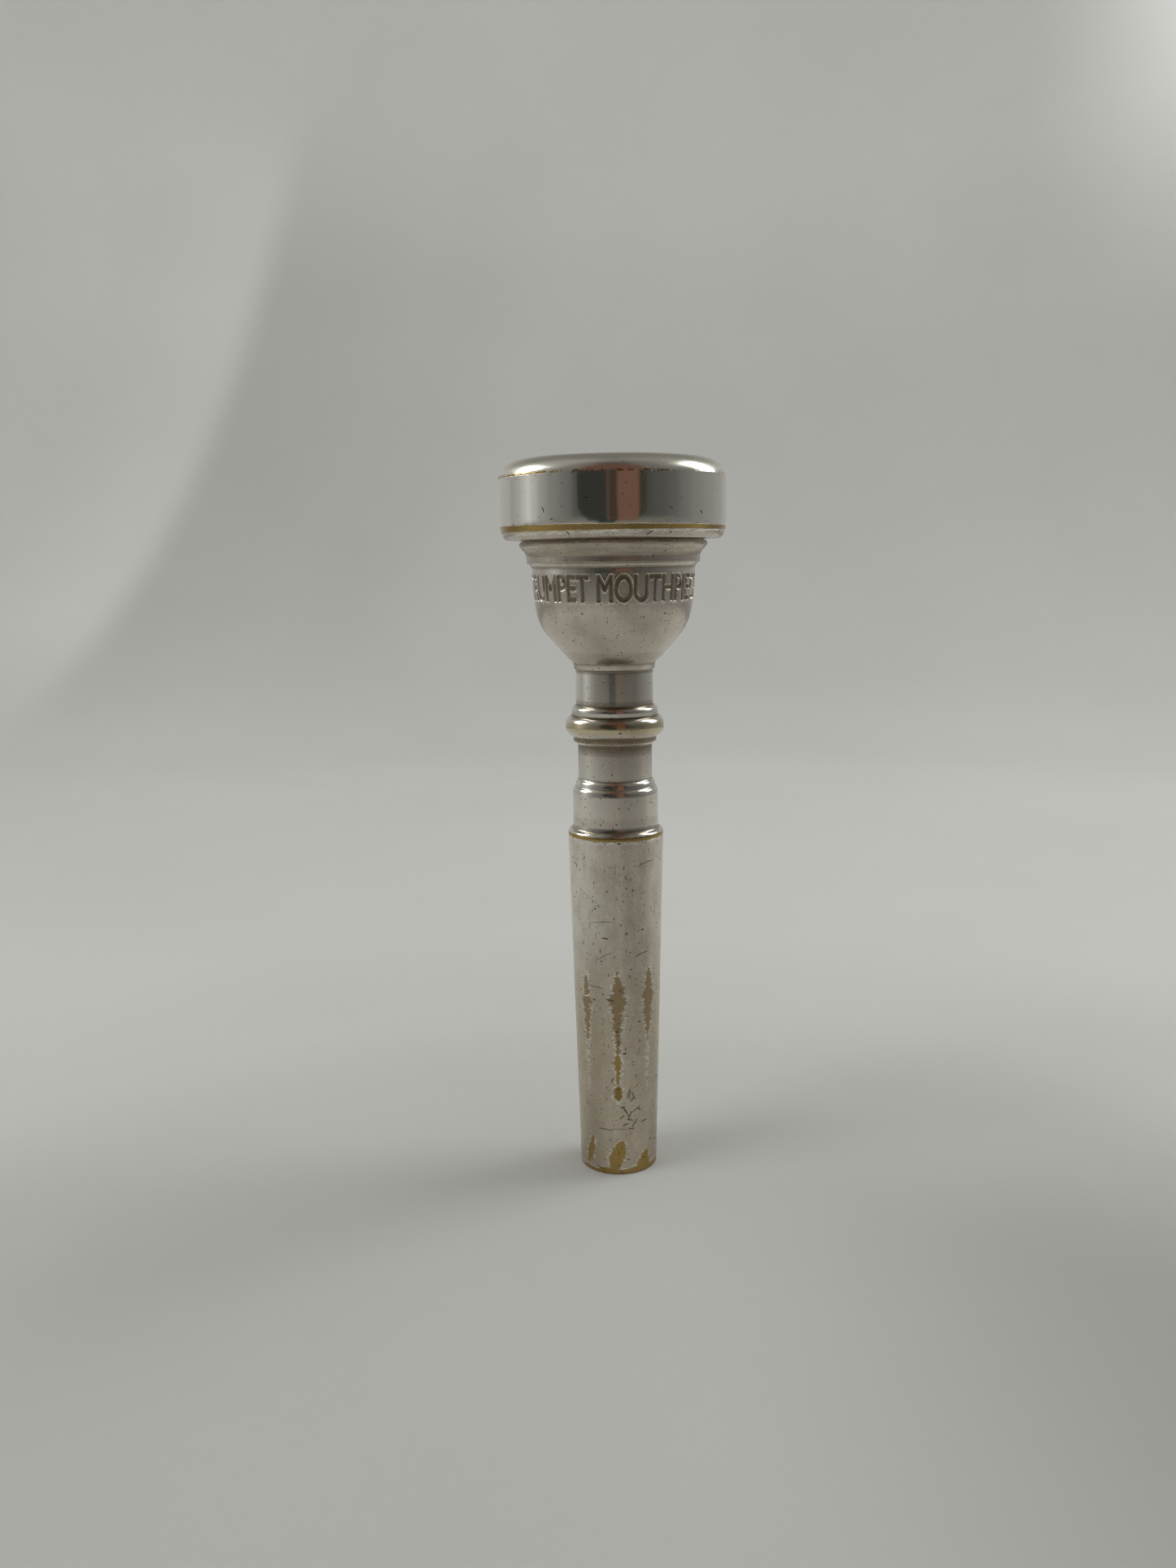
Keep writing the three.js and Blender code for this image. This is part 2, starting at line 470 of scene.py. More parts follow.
class Graph:
    """A node material built in few words. An input is a number, a tuple or another node's output."""

    def __init__(self, name):
        self.material = bpy.data.materials.new(name)
        self.material.use_nodes = True
        self.tree = self.material.node_tree
        self.shader = self.tree.nodes["Principled BSDF"]

    @classmethod
    def of_tree(cls, tree):
        """The same helper for a tree that isn't a material's."""
        graph = cls.__new__(cls)
        graph.tree = tree
        return graph

    def node(self, kind, inputs, **settings):
        """A node with its inputs fed and its settings made."""
        made = self.tree.nodes.new(kind)
        for key, value in settings.items():
            setattr(made, key, value)
        for key, value in inputs.items():
            self.feed(made.inputs[key], value)
        return made

    def feed(self, socket, value):
        """Links an output to a socket, or sets the socket's own value."""
        if isinstance(value, bpy.types.NodeSocket):
            self.tree.links.new(value, socket)
        else:
            socket.default_value = value

    def math(self, operation, *values):
        return self.node("ShaderNodeMath", dict(enumerate(values)), operation=operation).outputs[0]

    def add(self, *values):
        total = values[0]
        for value in values[1:]:
            total = self.math("ADD", total, value)
        return total

    def times(self, *values):
        total = values[0]
        for value in values[1:]:
            total = self.math("MULTIPLY", total, value)
        return total

    def most(self, *values):
        """The largest of the values at each point."""
        top = values[0]
        for value in values[1:]:
            top = self.math("MAXIMUM", top, value)
        return top

    def step(self, value, low, high):
        """0 at low and 1 at high, with a smooth change between them. Either may be the larger."""
        inputs = {"Value": value, "From Min": low, "From Max": high}
        return self.node("ShaderNodeMapRange", inputs, interpolation_type="SMOOTHSTEP").outputs[0]

    def mix(self, amount, first, second):
        inputs = {0: amount, 6: first, 7: second}
        return self.node("ShaderNodeMix", inputs, data_type="RGBA").outputs[2]

    def noise(self, where, scale, detail=2.0, roughness=0.5):
        inputs = {"Vector": where, "Scale": scale, "Detail": detail, "Roughness": roughness}
        return self.node("ShaderNodeTexNoise", inputs).outputs[0]

    def stretch(self, where, turn, size):
        """Turned and scaled coordinates, so that a round spot becomes a streak."""
        return self.node("ShaderNodeMapping", {"Vector": where, "Rotation": turn, "Scale": size}).outputs[0]

    def spots(self, where, scale, size, share):
        """Scattered marks: 1 in the middle of each, in that share of the cells."""
        cells = self.node("ShaderNodeTexVoronoi", {"Vector": where, "Scale": scale})
        pick = self.node("ShaderNodeSeparateColor", {0: cells.outputs["Color"]})
        reach = self.times(size, self.add(0.4, pick.outputs[1]))
        spot = self.step(self.math("DIVIDE", cells.outputs["Distance"], reach), 1.0, 0.45)
        return self.times(spot, self.math("LESS_THAN", pick.outputs[0], share))

    def levels(self, value, stops):
        """A curve through (value, level) stops that is flat beyond the first and the last."""
        low, high = stops[0][0], stops[-1][0]
        share = self.node("ShaderNodeMapRange", {"Value": value, "From Min": low, "From Max": high})
        ramp = self.node("ShaderNodeValToRGB", {0: share.outputs[0]})
        ramp.color_ramp.interpolation = "EASE"
        elements = ramp.color_ramp.elements
        elements.remove(elements[1])
        for i, (place, level) in enumerate(stops):
            position = (place - low) / (high - low)
            stop = elements.new(position) if i else elements[0]
            stop.position = position
            stop.color = (level, level, level, 1.0)
        return ramp.outputs[0]

    def of_number(self, number, values):
        """The value for each whole number. The values lie evenly on both sides of number 0."""
        return self.levels(number, list(enumerate(values, -(len(values) // 2))))

    def attribute(self, name):
        """The mesh's float attribute of that name."""
        return self.node("ShaderNodeAttribute", {}, attribute_name=name).outputs["Fac"]


def colour(red, green, blue):
    return (red, green, blue, 1.0)


SILVER_AND_SHEEN = colour(0.845, 0.83, 0.75)
AGED_SILVER = colour(0.59, 0.53, 0.458)
TARNISH_AND_SHADE = colour(0.20, 0.155, 0.095)
BRASS = colour(0.41, 0.28, 0.1)
BROWN_BRASS = colour(0.36, 0.27, 0.165)
YELLOWED = colour(0.6, 0.51, 0.3)
GRIME_AND_SHADE = colour(0.05, 0.04, 0.028)


def places(graph):
    """The point in millimetres, its height, and its angle from the front in radians."""
    spot = graph.node("ShaderNodeTexCoord", {}).outputs["Object"]
    point = graph.node("ShaderNodeVectorMath", {0: spot, "Scale": 1 / MM}, operation="SCALE").outputs[0]
    axes = graph.node("ShaderNodeSeparateXYZ", {0: point}).outputs
    angle = graph.math("ARCTAN2", axes[0], graph.times(axes[1], -1.0))
    return point, axes[2], angle


def scratches(graph, point, size, width, share):
    """Fine marks in three directions, long or short as the size of their cells says."""
    marks = []
    for turn in ((0.3, 0.5, 0.2), (1.1, 0.2, 0.9), (0.2, 1.2, 1.7)):
        marks.append(graph.spots(graph.stretch(point, turn, size), 1.0, width, share))
    return graph.most(*marks)


def stroke(graph, angle, height, radius, mark):
    """One scratch, from its angle in degrees, height, half length and tilt in degrees. It bows a
    little, and a long one is finer and fainter than a short one."""
    degrees, middle, half, tilt = mark
    across = graph.times(graph.add(angle, -math.radians(degrees)), radius)
    rise = graph.add(height, -middle)
    cosine, sine = math.cos(math.radians(tilt)), math.sin(math.radians(tilt))
    along = graph.add(graph.times(across, cosine), graph.times(rise, sine))
    aside = graph.add(graph.times(rise, cosine), graph.times(across, -sine))
    bow = graph.add(aside, graph.times(along, along, 0.12 / half))
    width = 0.06 + 0.08 / (1 + half * half)
    thin = graph.step(graph.math("ABSOLUTE", bow), width, 0.2 * width)
    ends = graph.step(graph.math("ABSOLUTE", along), half, 0.5 * half)
    return graph.times(min(1.0, 1.1 / half), thin, ends)


def strokes(graph, angle, height, radius, marks):
    """The deeper scratches, each put where it is wanted."""
    return graph.most(*(stroke(graph, angle, height, radius, mark) for mark in marks))


def wear(graph, point, look, grain, pit_share, scratch_share):
    """Every kind of wear on the surface, each from 0 to 1. wall is a stamped letter's sloping side,
    fringe the plate's edge round a bare patch, and ticks the fine marks across it."""
    untwisted = (0, 0, 0)
    satin = look["satin"]
    hollow, letter = graph.attribute("hollow"), graph.attribute("letter")
    cloud = graph.noise(point, 0.4, 4.0, 0.6)
    streaks = graph.noise(graph.stretch(point, untwisted, (1.1, 1.1, 0.3)), 1.0, 4.0, 0.65)
    shade = graph.add(graph.times(0.5, cloud), graph.times(0.5, streaks), graph.times(0.25, grain))
    pits = graph.spots(graph.stretch(point, (0.2, 0.1, 0.3), (0.7, 0.7, 1.5)), 1.0, 0.16, pit_share)
    specks = graph.spots(point, 2.7, 0.24, pit_share)
    dashes = graph.times(satin, scratches(graph, point, (1.9, 1.9, 0.5), 0.12, scratch_share * 2.5))
    bare = graph.step(look["gap"], -0.04, 0.04)
    return {
        "letter": letter,
        "wall": graph.times(4.0, letter, graph.math("SUBTRACT", 1.0, letter)),
        "tarnish": graph.step(graph.add(hollow, graph.times(0.5, grain)), 0.35, 1.5),
        "stain": graph.times(satin, graph.step(graph.add(shade, look["stained"]), 0.52, 0.82)),
        "bare": bare,
        "fringe": graph.times(graph.step(look["gap"], -0.6, -0.1), graph.math("SUBTRACT", 1.0, bare)),
        "ticks": graph.noise(graph.stretch(point, untwisted, (0.9, 0.9, 5.5)), 1.0, 2.0, 0.6),
        "marks": graph.most(pits, specks, dashes),
        "lines": scratches(graph, point, (3.2, 3.2, 0.16), 0.1, scratch_share),
    }


def metal_colour(graph, look, worn):
    """Silver with its stains and tarnish, painted light on one side, grime mixed with painted shade,
    the letters with painted highlight on their walls, the brass of the bare patches with the
    silver's ragged fringe round them, and the dark marks over everything, which on the rim's front
    include painted shade."""
    fringe, ticks = worn["fringe"], worn["ticks"]
    # plate dulled by age, lighter on one side with painted light
    plate = graph.mix(look["age_and_side_light"], SILVER_AND_SHEEN, AGED_SILVER)
    plate = graph.mix(graph.times(0.26, worn["stain"]), plate, TARNISH_AND_SHADE)
    plate = graph.mix(look["yellow"], plate, YELLOWED)
    # tarnish in hollows, and grime with painted shade in grooves and crevices
    plate = graph.mix(graph.most(graph.times(0.8, worn["tarnish"]), look["grimy_and_shaded"]), plate, TARNISH_AND_SHADE)
    plate = graph.mix(graph.times(0.85, graph.step(worn["letter"], 0.4, 0.9)), plate, TARNISH_AND_SHADE)
    # painted highlight: the letters' walls lightened towards silver
    plate = graph.mix(graph.times(0.35, worn["wall"]), plate, SILVER_AND_SHEEN)
    plate = graph.mix(graph.times(0.7, fringe, graph.step(ticks, 0.46, 0.58)), plate, SILVER_AND_SHEEN)
    plate = graph.mix(graph.times(0.35, fringe, graph.step(ticks, 0.42, 0.34)), plate, TARNISH_AND_SHADE)
    metal = graph.mix(worn["bare"], plate, graph.mix(look["brown"], BRASS, BROWN_BRASS))
    metal = graph.mix(graph.times(0.78, worn["marks"]), metal, GRIME_AND_SHADE)
    metal = graph.mix(graph.times(0.4, worn["lines"]), metal, GRIME_AND_SHADE)
    # deep scratches, and on the rim's front painted shade
    return graph.mix(graph.times(0.88, look["dark"]), metal, GRIME_AND_SHADE)


def metal_roughness(graph, look, worn, grain):
    """The finish's own roughness, and what each kind of wear adds to it."""
    return graph.add(look["gloss"], graph.times(0.06, look["satin"], grain),
                     graph.times(0.06, worn["stain"]), graph.times(0.16, worn["tarnish"]),
                     graph.times(0.1, worn["bare"]), graph.times(0.35, worn["marks"]),
                     graph.times(0.08, worn["letter"]))


def metal_relief(graph, point, look, worn, grain):
    """The surface's height in millimetres: marks and scratches cut in, the plate's edge round the
    bare patches, fine rings from the lathe and a faint ripple."""
    turning = graph.noise(graph.stretch(point, (0, 0, 0), (0.12, 0.12, 9.0)), 1.0, 3.0, 0.7)
    ripple = graph.noise(point, 0.35, 1.0)
    satin = look["satin"]
    return graph.add(graph.times(-0.02, satin, worn["marks"]), graph.times(-0.005, worn["lines"]),
                     graph.times(-0.012, look["dark"]), graph.times(-0.008, worn["bare"]),
                     graph.times(0.0009, turning), graph.times(0.004, ripple),
                     graph.times(0.0008, satin, grain), graph.times(0.003, worn["fringe"], worn["ticks"]))


def plated(name, finish, pit_share, scratch_share):
    """Silver plate over brass, as it wears. finish is a function that says how one piece is worn and
    where light and shade are painted on it: how far inside a bare patch a point is (gap), how brown
    the brass is, how satin, rough (gloss), stained and yellow the plate is, how dulled by age it is
    with painted light on one side (age_and_side_light), how much grime and painted shade lie on it
    (grimy_and_shaded), and where it has deep scratches and, on the rim's front, painted shade (dark)."""
    graph = Graph(name)
    point, height, angle = places(graph)
    grain = graph.noise(point, 3.0, 4.0, 0.65)
    look = finish(graph, point, height, angle, grain)
    worn = wear(graph, point, look, grain, pit_share, scratch_share)
    relief = metal_relief(graph, point, look, worn, grain)
    bump = graph.node("ShaderNodeBump", {"Height": relief, "Distance": MM, "Strength": 1.0})
    graph.feed(graph.shader.inputs["Base Color"], metal_colour(graph, look, worn))
    graph.feed(graph.shader.inputs["Roughness"], metal_roughness(graph, look, worn, grain))
    graph.feed(graph.shader.inputs["Normal"], bump.outputs[0])
    graph.shader.inputs["Metallic"].default_value = 1.0
    return graph.material


def ragged(graph, value, noise, amount):
    """A height or distance made uneven by a noise, so that the edge of the wear wanders."""
    return graph.add(value, graph.times(amount, graph.math("SUBTRACT", noise, 0.5)))


def inside_band(graph, height, middle, half):
    """How far inside (+) or outside (-) a band of heights a point is."""
    return graph.math("SUBTRACT", half, graph.math("ABSOLUTE", graph.add(height, -middle)))


# Scratches that stand out: degrees from the front, height, half length, tilt in degrees.
RIM_SCRATCHES = ((-34.5, 81.4, 0.4, -70), (-30, 80.4, 0.25, 10), (18, 78.75, 0.5, 30), (29, 78.8, 0.2, 40),
                 (-12, 82.6, 0.3, 15), (47, 81.0, 0.3, -35), (14, 85.1, 0.3, -60), (-22, 78.8, 0.25, -40))
SHANK_SCRATCHES = ((38, 40.0, 1.4, 12), (-57, 39.5, 0.4, -35), (-39, 36.0, 2.7, -30), (-22, 32.8, 2.1, 8),
                   (-15, 30.8, 0.5, -6), (-18, 28.5, 1.6, 31), (34, 28.7, 1.3, 12), (-30, 24.5, 1.5, -3),
                   (-10, 23.0, 0.7, -8), (14, 10.8, 0.9, 70), (22, 10.4, 0.8, -65), (26, 8.6, 0.9, 30),
                   (12, 8.2, 0.8, -55), (6, 9.0, 0.4, 15), (17, 7.3, 0.6, -20), (22, 6.6, 0.5, 60),
                   (0, 6.1, 1.6, 0), (10, 6.7, 0.5, 20), (16, 10.6, 0.7, 80), (20, 10.0, 0.5, 55),
                   (9, 8.7, 0.6, -50), (17, 8.0, 0.6, 65), (31, 8.5, 0.4, -30), (5, 7.7, 0.5, 40),
                   (18, 6.1, 0.5, -10), (26, 7.0, 0.35, 70), (-20, 6.0, 1.2, -3), (-29, 0.8, 0.8, -12),
                   (-8, 12.6, 0.4, 75), (40, 6.8, 0.7, 8))


def rim_finish(graph, point, height, angle, grain):
    """A polished rim: brass along its lower edge and in dashes at its shoulder, satin underneath,
    and painted shade that darkens the brass edge at the front.
    """
    side = graph.math("COSINE", graph.add(angle, 1.4))
    lower = graph.add(inside_band(graph, ragged(graph, height, grain, 0.3), (RIM_BEVEL + RIM_EDGE) / 2, 0.3),
                      graph.times(0.08, side))
    upper = graph.add(inside_band(graph, ragged(graph, height, grain, 0.45), RIM_SHOULDER, 0.1),
                      graph.times(0.06, side))
    breaks = graph.step(graph.add(graph.noise(point, 1.1, 3.0, 0.7), graph.times(0.05, side)), 0.52, 0.47)
    below = graph.step(height, RIM_BEVEL + 0.03, RIM_BEVEL - 0.03)
    rounding = graph.step(height, RIM_SHOULDER - 0.1, RIM_SHOULDER + 0.6)
    satin = graph.add(0.08, graph.times(0.92, below))
    # painted shade: the brass edge darkened where it faces the front
    front = graph.times(graph.step(graph.math("COSINE", angle), 0.72, 1.0), graph.step(lower, 0.0, 0.1))
    return {
        "gap": graph.most(lower, graph.add(upper, graph.times(-1.0, breaks))),
        "brown": 0.0,
        "satin": satin,
        "age_and_side_light": satin,
        "gloss": graph.add(0.1, graph.times(0.16, rounding), graph.times(0.12, below)),
        "stained": 0.0,
        "yellow": 0.0,
        "grimy_and_shaded": 0.0,
        # deep scratches, and the painted shade at the front
        "dark": graph.most(strokes(graph, angle, height, 13.4, RIM_SCRATCHES), graph.times(0.55, front)),
    }


# How polished the turned body is at each height, and how much grime and painted shade lie there.
POLISH = (
    (42.6, 0.0), (42.95, 0.9), (44.0, 0.9), (44.5, 0.1), (47.8, 0.1), (48.2, 0.85), (49.5, 0.9),
    (49.9, 0.15), (54.8, 0.0), (55.6, 0.2), (56.6, 0.6), (57.4, 0.6), (57.6, 0.75), (58.5, 0.75),
    (58.9, 0.4), (62.6, 0.4), (63.1, 0.0), (70.5, 0.0), (71.0, 0.15), (74.3, 0.2), (74.7, 0.6),
    (75.3, 0.6), (75.6, 0.0),
)
# Grime mixed with painted shade in grooves and crevices, above the lip and under the rim.
NECK_DIRT_AND_SHADE = (
    (43.5, 0.0), (44.0, 0.25), (44.9, 0.2), (45.6, 0.0), (52.6, 0.0), (53.0, 0.4), (53.5, 0.75),
    (53.84, 0.95), (53.92, 0.1), (54.24, 0.1), (54.4, 0.9), (54.85, 1.0), (54.95, 0.1), (57.25, 0.1),
    (57.4, 0.9), (57.55, 0.5), (57.7, 0.0), (58.55, 0.0), (58.68, 0.9), (59.1, 0.4), (59.5, 0.0),
)
CUP_DIRT_AND_SHADE = (
    (62.4, 0.0), (62.8, 0.6), (63.02, 0.9), (63.1, 0.0), (63.7, 0.1), (63.9, 0.4), (64.9, 0.25),
    (65.4, 0.0), (76.2, 0.0), (76.5, 0.3), (77.2, 0.25), (77.4, 0.0), (77.62, 0.35), (78.1, 0.35),
)

# Half the width of a rubbed patch at each height up the shank: the long ones above, the slanted
# ones at the foot, and the one small spot at the front between them.
SLOT_PATCH = (
    (10.0, 0.0), (11.6, 0.22), (13.2, 0.32), (14.6, 0.5), (15.6, 0.36), (17.5, 0.38), (19.0, 0.5),
    (20.6, 0.68), (21.9, 0.88), (23.1, 1.1), (24.3, 0.7), (25.5, 0.45), (26.5, 0.3), (27.2, 0.0),
)
FOOT_PATCH = ((0.8, 0.5), (2.0, 1.1), (3.2, 1.2), (4.2, 0.7), (5.2, 0.0))
SPOT_PATCH = ((8.2, 0.0), (9.0, 0.18), (9.8, 0.22), (10.4, 0.6), (11.4, 0.65), (12.0, 0.0))

# Eight patches go round the shank, numbered both ways from the front, -4 to 4, so that the first
# and the last value are the same patch at the back. How large each slot patch is, how large each
# foot patch is, and how far each foot patch lies below its outline's heights.
PATCHES = 8
SLOT_SIZES = (0.9, 0.8, 0.95, 0.66, 0.98, 0.95, 0.75, 0.88, 0.9)
FOOT_SIZES = (0.8, 0.5, 0.9, 0.5, 0.95, 1.0, 0.6, 1.0, 0.8)
FOOT_DROPS = (1.0, 0.2, 1.4, 0.0, 0.3, 2.0, 0.4, 1.6, 1.0)


def patch(graph, height, across, widths, size, uneven):
    """How far inside (+) or outside (-) a rubbed patch a point is."""
    width = graph.levels(height, widths)
    there = graph.step(width, 0.0, 0.3)
    ragged_share = graph.add(0.4, graph.times(0.6, graph.step(width, 0.35, 0.9)))
    return graph.add(graph.times(size, width), graph.times(-1.0, graph.math("ABSOLUTE", across)),
                     graph.times(uneven, there, ragged_share), graph.times(0.6, there), -0.7)


def rubbed(graph, point, height, angle):
    """The patches round the shank where a slotted receiver rubbed it, and one spot at the front."""
    slot_radius, spot_radius = 5.3, 5.1
    teeth = graph.noise(graph.stretch(point, (0, 0, 0), (0.7, 0.7, 2.9)), 1.0, 3.0, 0.8)
    sway = graph.noise(point, 0.4, 1.0)
    uneven = ragged(graph, graph.times(0.9, graph.add(sway, -0.5)), teeth, 3.0)
    pitch = 2 * math.pi / PATCHES
    turn = graph.math("DIVIDE", angle, pitch)
    number = graph.math("ROUND", turn)
    across = graph.times(graph.math("SUBTRACT", turn, number), pitch * slot_radius)
    slot_size = graph.of_number(number, SLOT_SIZES)
    lowered = graph.add(height, 1.5, graph.times(-1.5, slot_size))
    sides = graph.step(graph.math("ABSOLUTE", number), 0.2, 0.8)
    tail = graph.add(1.0, graph.times(-0.9, sides, graph.step(lowered, 19.5, 16.5)))
    slot = patch(graph, lowered, across, SLOT_PATCH, graph.times(slot_size, tail), uneven)
    lean = graph.add(across, 0.8, graph.times(-0.26, height))
    dropped = graph.add(height, graph.of_number(number, FOOT_DROPS))
    foot = patch(graph, dropped, lean, FOOT_PATCH, graph.of_number(number, FOOT_SIZES),
                 graph.times(0.5, uneven))
    spot = patch(graph, height, graph.times(angle, spot_radius), SPOT_PATCH, 1.0, graph.times(0.6, uneven))
    return slot, foot, spot


def shank_finish(graph, point, height, angle, grain):
    """A satin cup and shank: brass at the shank's two ends and in patches, polished collars, painted
    light on the left and right sides, and grime with painted shade in grooves and crevices.
    """
    slot, foot, spot = rubbed(graph, point, height, angle)
    wander = ragged(graph, height, graph.noise(point, 0.4, 1.0), 0.9)
    lip = inside_band(graph, ragged(graph, height, grain, 0.3), SHANK_TOP + 0.08, 0.22)
    end_side = graph.math("COSINE", graph.add(angle, -0.7))
    end = graph.add(0.45, graph.times(0.4, end_side), graph.times(-1.0, wander))
    bead = inside_band(graph, wander, 56.1, 0.6)
    rings = graph.noise(graph.stretch(point, (0, 0, 0), (0.22, 0.22, 4.5)), 1.0, 2.0, 0.6)
    cove = graph.times(graph.step(height, 74.8, 75.6),
                       graph.add(0.16, graph.times(1.1, graph.add(rings, -0.5))))
    clean = graph.times(-0.2, graph.step(height, SHANK_TOP, 44.0), graph.step(height, 70.0, 64.0))
    polish = graph.levels(height, POLISH)
    # painted light: the plate lighter on the left and right sides
    left = graph.step(graph.math("COSINE", graph.add(angle, 1.3)), 0.3, 0.95)
    right = graph.step(graph.math("COSINE", graph.add(angle, -1.5)), 0.6, 1.0)
    painted_side_light = graph.times(graph.add(left, graph.times(0.4, right)), graph.step(height, 20.0, 33.0),
                              graph.step(height, 62.9, 62.7), graph.step(polish, 0.8, 0.5))
    # grime, with painted shade in grooves and crevices and under the rim
    dirt_and_shade = graph.most(graph.levels(height, NECK_DIRT_AND_SHADE), graph.levels(height, CUP_DIRT_AND_SHADE))
    return {
        "gap": graph.most(slot, foot, spot, lip, end),
        "brown": graph.times(graph.step(height, 14.0, 20.0), graph.step(height, 40.0, 35.0)),
        "satin": graph.add(1.0, graph.times(-0.75, polish)),
        "age_and_side_light": graph.add(1.0, graph.times(-0.85, polish), graph.times(-0.45, painted_side_light)),
        "gloss": graph.add(0.2, graph.times(-0.085, polish)),
        "stained": graph.add(graph.times(0.12, graph.step(height, 34.0, 20.0)), cove, clean),
        "yellow": graph.add(graph.times(0.75, graph.step(bead, -0.35, 0.3)),
                            graph.times(0.2, graph.step(height, 32.0, 18.0))),
        "grimy_and_shaded": graph.times(dirt_and_shade, graph.step(grain, 0.2, 0.45)),
        "dark": graph.most(strokes(graph, angle, height, 5.5, SHANK_SCRATCHES),
                           graph.times(0.35, graph.step(spot, 0.0, 0.3))),
    }


def rim_material():
    return plated("bright_plate", rim_finish, pit_share=0.1, scratch_share=0.1)


def body_material():
    return plated("worn_plate", shank_finish, pit_share=0.28, scratch_share=0.17)


# ---------------------------------------------------------------- the object

def build():
    """The two pieces, each riding with its CAD body in place of its CAD node."""
    body_rows = add_rows(body_outline().rounded(), (STAMP_FOOT - 0.01, STAMP_TOP + 0.01))
    male = (PILOT_TOP + 0.2, SPIGOT_TOP - 0.3, MALE_RADIUS, True)
    body = turned_piece("cup_and_shank_skin", body_rows, male, stamped=True)
    body.data.materials.append(body_material())
    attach(body, "cup_and_shank")
    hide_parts("cup_and_shank")
    rim_rows = add_rows(rim_outline().rounded())
    female = (PILOT_TOP + 0.3, SPIGOT_TOP + 0.2, FEMALE_RADIUS, False)
    rim = turned_piece("rim_skin", rim_rows, female)
    rim.data.materials.append(rim_material())
    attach(rim, "rim")
    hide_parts("rim")


# ---------------------------------------------------------------- stage, light and camera

# How much painted light the paper glows with at each distance from a point a little in front of
# the object, and the painted light and shade across a fold on the left, both in metres.
LIFT = (
    (0.055, 0.0), (0.085, 0.055), (0.12, 0.13), (0.17, 0.175), (0.28, 0.205), (0.37, 0.225),
    (0.43, 0.19), (0.49, 0.155), (0.6, 0.12), (0.63, 0.14), (0.66, 0.19), (0.7, 0.195),
)
LIFT_CENTRE = 0.06  # how far in front of the object that point is
PAINTED_FOLD = ((-0.4, 0.07), (-0.3, 0.12), (-0.245, 0.17), (-0.225, 0.0), (-0.15, 0.03), (-0.08, 0.07))
PAINTED_FOLD_LEVEL = 0.07  # the level that changes nothing


def paper_tone(graph, point, across, back):
    """Off-white with a faint unevenness, and painted shade in front of the object on the right."""
    shade = graph.noise(point, 9.0, 4.0, 0.55)
    tone = graph.mix(shade, colour(0.557, 0.559, 0.543), colour(0.63, 0.633, 0.616))
    # painted shade: the paper darkened in front of the object on the right
    painted_shade_front_right = graph.times(graph.step(across, 0.005, 0.06), graph.step(back, 0.02, -0.03))
    return graph.mix(graph.times(0.24, painted_shade_front_right), tone, colour(0, 0, 0))


def paper_glow(graph, point, across, up):
    """Painted light that the paper gives by itself: rings round the object, the painted light and
    shade of a folded stretch on the left, and a bright corner.
    """
    shifted = graph.node("ShaderNodeVectorMath", {0: point, 1: (0.0, LIFT_CENTRE, 0.0)}).outputs[0]
    away = graph.node("ShaderNodeVectorMath", {0: shifted}, operation="LENGTH").outputs["Value"]
    slant = graph.add(across, graph.times(-0.3, up))
    # painted light and shade of a fold in the paper
    painted_fold = graph.times(graph.step(up, 0.0, 0.06), graph.step(up, 0.32, 0.2),
                       graph.add(graph.levels(slant, PAINTED_FOLD), -PAINTED_FOLD_LEVEL))
    # painted light in a bright corner
    gleam = graph.times(0.9, graph.step(across, 0.19, 0.31), graph.step(up, 0.17, 0.38))
    return graph.add(graph.levels(away, LIFT), painted_fold, gleam)


def paper_material():
    """Matt paper with a fine fibre, glowing with painted light."""
    graph = Graph("pale_paper")
    point = graph.node("ShaderNodeTexCoord", {}).outputs["Object"]
    across, back, up = graph.node("ShaderNodeSeparateXYZ", {0: point}).outputs
    tone = paper_tone(graph, point, across, back)
    fibre = graph.noise(point, 900.0, 2.0, 0.6)
    bump = graph.node("ShaderNodeBump", {"Height": fibre, "Distance": 0.00008, "Strength": 0.6})
    graph.feed(graph.shader.inputs["Base Color"], tone)
    graph.feed(graph.shader.inputs["Normal"], bump.outputs[0])
    graph.feed(graph.shader.inputs["Emission Color"], tone)
    graph.feed(graph.shader.inputs["Emission Strength"], paper_glow(graph, point, across, up))
    graph.shader.inputs["Roughness"].default_value = 0.95
    graph.shader.inputs["Specular IOR Level"].default_value = 0.1
    return graph.material


def sweep(name, rows, material):
    """A round stretch of the paper: a disc or a wall, from its outline in millimetres."""
    columns = 128
    points = turned_points(np.array(rows), columns).reshape(-1, 3)
    faces = []
    for i in range(len(rows) - 1):
        for j in range(columns):
            k = (j + 1) % columns
            faces.append([i * columns + j, i * columns + k, (i + 1) * columns + k, (i + 1) * columns + j])
    thing = make_mesh(name, points, faces, {})
    thing.data.materials.append(material)
    return thing


def stage():
    """A floor that curves up into a wall all round, so that every view has the same plain ground."""
    paper = paper_material()
    flat, bend, top = 320.0, 220.0, 750.0
    steps = 12
    floor = [(0.5, 0.0), (50.0, 0.0), (150.0, 0.0), (flat, 0.0)]
    wall = [(flat, 0.0)]
    for step in range(1, steps + 1):
        angle = math.pi / 2 * step / steps
        wall.append((flat + bend * math.sin(angle), bend - bend * math.cos(angle)))
    wall.append((flat + bend, top))
    sweep("floor", floor, paper)
    backdrop = sweep("backdrop", wall, paper)
    backdrop.visible_glossy = False
    backdrop.visible_shadow = False


